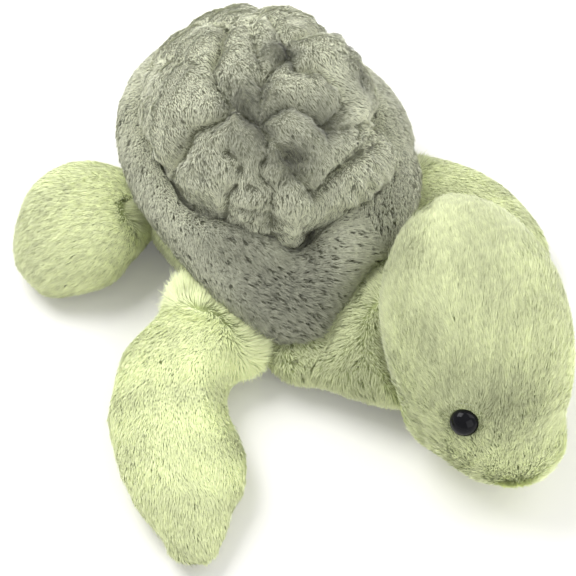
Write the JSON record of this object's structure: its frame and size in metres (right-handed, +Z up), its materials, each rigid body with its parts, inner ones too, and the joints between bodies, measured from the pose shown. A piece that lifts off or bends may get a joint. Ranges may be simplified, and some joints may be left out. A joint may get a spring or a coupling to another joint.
{
  "type": "plush turtle",
  "caption": "Soft plush sea turtle with a quilted stuffed shell, a stuffed roll round its edge, a drooping head with safety eyes, and four flippers that flap.",
  "frame": {"origin": "under the belly, on the level surface that the turtle rests on", "axes": "+Z up, -Y towards the snout, +X towards the turtle's left side"},
  "size_m": [0.2639, 0.3021, 0.1124],
  "materials": {
    "shell_plush": "long grey-green pile, brushed in tufts",
    "green_plush": "short pale green pile",
    "filling": "loose polyester fibre",
    "lining": "thin woven cloth",
    "pellet_cloth": "thin woven cloth",
    "thread": "waxed thread",
    "black_eye": "polished black",
    "white_washer": "plain moulded"
  },
  "bodies": {
    "body": {"shell_cover": "shell_plush", "shell_filling": "filling", "shell_lining": "lining", "tuft_thread_1": "thread", "tuft_thread_2": "thread", "tuft_thread_3": "thread", "tuft_thread_4": "thread", "tuft_thread_5": "thread", "edge_roll_cover": "shell_plush", "edge_roll_filling": "filling", "belly_cover": "green_plush", "body_filling": "filling", "pellet_bag": "pellet_cloth"},
    "neck": {"neck_cover": "green_plush", "neck_filling": "filling"},
    "head": {"head_cover": "green_plush", "head_filling": "filling", "right_eye": "black_eye", "left_eye": "black_eye", "right_eye_washer": "white_washer", "left_eye_washer": "white_washer"},
    "right_front_flipper": {"right_front_flipper_cover": "green_plush", "right_front_flipper_filling": "filling"},
    "left_front_flipper": {"left_front_flipper_cover": "green_plush", "left_front_flipper_filling": "filling"},
    "right_hind_flipper": {"right_hind_flipper_cover": "green_plush", "right_hind_flipper_filling": "filling"},
    "left_hind_flipper": {"left_hind_flipper_cover": "green_plush", "left_hind_flipper_filling": "filling"}
  },
  "joints": [
    {"name": "neck_turn", "type": "hinge", "parent": "body", "child": "neck", "pos_m": [-0.003, -0.05, 0.018], "axis": [0, 0, 1], "range_deg": [-15, 15], "stiffness_Nm_per_rad": 0.1},
    {"name": "head_nod", "type": "hinge", "parent": "neck", "child": "head", "pos_m": [0.003, -0.098, 0.032], "axis": [-0.8601, 0.5101, 0], "range_deg": [-5, 20], "stiffness_Nm_per_rad": 0.15, "springref_deg": 3.44},
    {"name": "right_front_flap", "type": "hinge", "parent": "body", "child": "right_front_flipper", "pos_m": [-0.064, -0.022, 0.013], "axis": [0, 1, 0], "range_deg": [-30, 20]},
    {"name": "left_front_flap", "type": "hinge", "parent": "body", "child": "left_front_flipper", "pos_m": [0.057, -0.026, 0.013], "axis": [-0.6222, -0.7828, 0], "range_deg": [-30, 5]},
    {"name": "right_hind_flap", "type": "hinge", "parent": "body", "child": "right_hind_flipper", "pos_m": [-0.06, 0.057, 0.014], "axis": [0.3011, 0.9536, 0], "range_deg": [-30, 20]},
    {"name": "left_hind_flap", "type": "hinge", "parent": "body", "child": "left_hind_flipper", "pos_m": [0.046, 0.066, 0.014], "axis": [0.769, -0.6392, 0], "range_deg": [-30, 20]}
  ]
}
